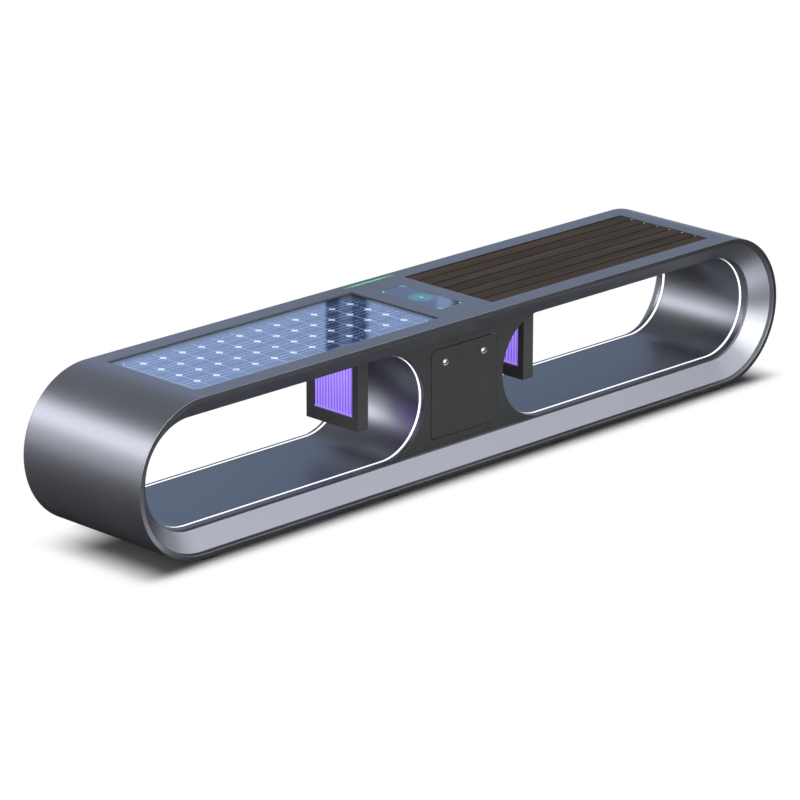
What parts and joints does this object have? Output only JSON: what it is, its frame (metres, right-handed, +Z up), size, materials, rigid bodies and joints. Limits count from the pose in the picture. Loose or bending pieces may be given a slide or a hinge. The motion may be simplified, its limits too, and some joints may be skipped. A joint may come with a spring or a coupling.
{
  "type": "solar charging bench",
  "caption": "Round-ended outdoor bench with a solar panel, wireless charger and wooden slats in its seat, lit tunnels below, hanging insect lamps and a locked service door in its pillar.",
  "frame": {"origin": "on the ground, under the middle of the bench", "axes": "+X along the bench towards the wooden slats, +Y to the rear, +Z up; the service door faces -Y"},
  "size_m": [2.496, 0.455, 0.45],
  "materials": {
    "shell_paint": "satin metallic graphite",
    "panel_paint": "fine matt texture",
    "lamp_paint": "satin",
    "lamp_bars": "satin, lit violet",
    "violet_light": "glowing",
    "white_light": "glowing",
    "green_light": "glowing",
    "solar_glass": "clear, glossy",
    "solar_cells": "glossy blue wafers on a pale sheet",
    "aluminium": "mill finish",
    "brown_wood": "oiled, dark brown",
    "red_wood": "oiled, reddish brown",
    "galvanised_steel": "hot-dip galvanised",
    "zinc_steel": "bright zinc plated",
    "chrome": "polished",
    "rubber": "matt",
    "charger_glass": "translucent, glossy",
    "copper": "enamelled wire",
    "black_plastic": "moulded",
    "grey_plastic": "moulded"
  },
  "bodies": {
    "bench": {"outer_band": "shell_paint", "front_fascia": "shell_paint", "rear_fascia": "shell_paint", "left_bay_liner": "shell_paint", "right_bay_liner": "shell_paint", "front_left_light_strip": "white_light", "rear_left_light_strip": "white_light", "front_right_light_strip": "white_light", "rear_right_light_strip": "white_light", "front_pillar_panel": "panel_paint", "rear_pillar_panel": "panel_paint", "door_frame": "galvanised_steel", "foot_1": "rubber", "foot_2": "rubber", "foot_3": "rubber", "foot_4": "rubber", "foot_5": "rubber", "foot_6": "rubber", "foot_7": "rubber", "foot_8": "rubber", "inner_frame": "galvanised_steel", "seat_frame": "galvanised_steel", "solar_glass": "solar_glass", "solar_cells": "solar_cells", "solar_tray": "aluminium", "junction_box": "black_plastic", "wood_tray": "galvanised_steel", "slat_1": "red_wood", "slat_2": "brown_wood", "slat_3": "brown_wood", "slat_4": "brown_wood", "slat_5": "brown_wood", "slat_6": "brown_wood", "slat_7": "red_wood", "charger_cover": "charger_glass", "charger_coil": "copper", "charger_case": "black_plastic", "status_lens": "green_light", "left_lamp_frame": "lamp_paint", "left_lamp_grille": "lamp_bars", "left_lamp_panel": "violet_light", "right_lamp_frame": "lamp_paint", "right_lamp_grille": "lamp_bars", "right_lamp_panel": "violet_light", "left_hinge_bracket": "zinc_steel", "left_hinge_pin": "zinc_steel", "right_hinge_bracket": "zinc_steel", "right_hinge_pin": "zinc_steel", "equipment_plate": "galvanised_steel", "battery_pack": "grey_plastic", "charge_controller": "black_plastic", "light_driver": "aluminium", "solar_lead": "rubber", "charger_lead": "rubber"},
    "door": {"service_door": "panel_paint", "door_seal": "rubber", "left_lock_housing": "zinc_steel", "right_lock_housing": "zinc_steel"},
    "left_lock": {"left_lock_core": "chrome"},
    "right_lock": {"right_lock_core": "chrome"}
  },
  "joints": [
    {"name": "door_hinge", "type": "hinge", "parent": "bench", "child": "door", "pos_m": [0, -0.156, 0.1255], "axis": [1, 0, 0], "range_deg": [0, 90]},
    {"name": "left_lock_turn", "type": "hinge", "parent": "door", "child": "left_lock", "pos_m": [-0.075, -0.166, 0.316], "axis": [0, -1, 0], "range_deg": [0, 90]},
    {"name": "right_lock_turn", "type": "hinge", "parent": "door", "child": "right_lock", "pos_m": [0.075, -0.166, 0.316], "axis": [0, 1, 0], "range_deg": [0, 90]}
  ]
}
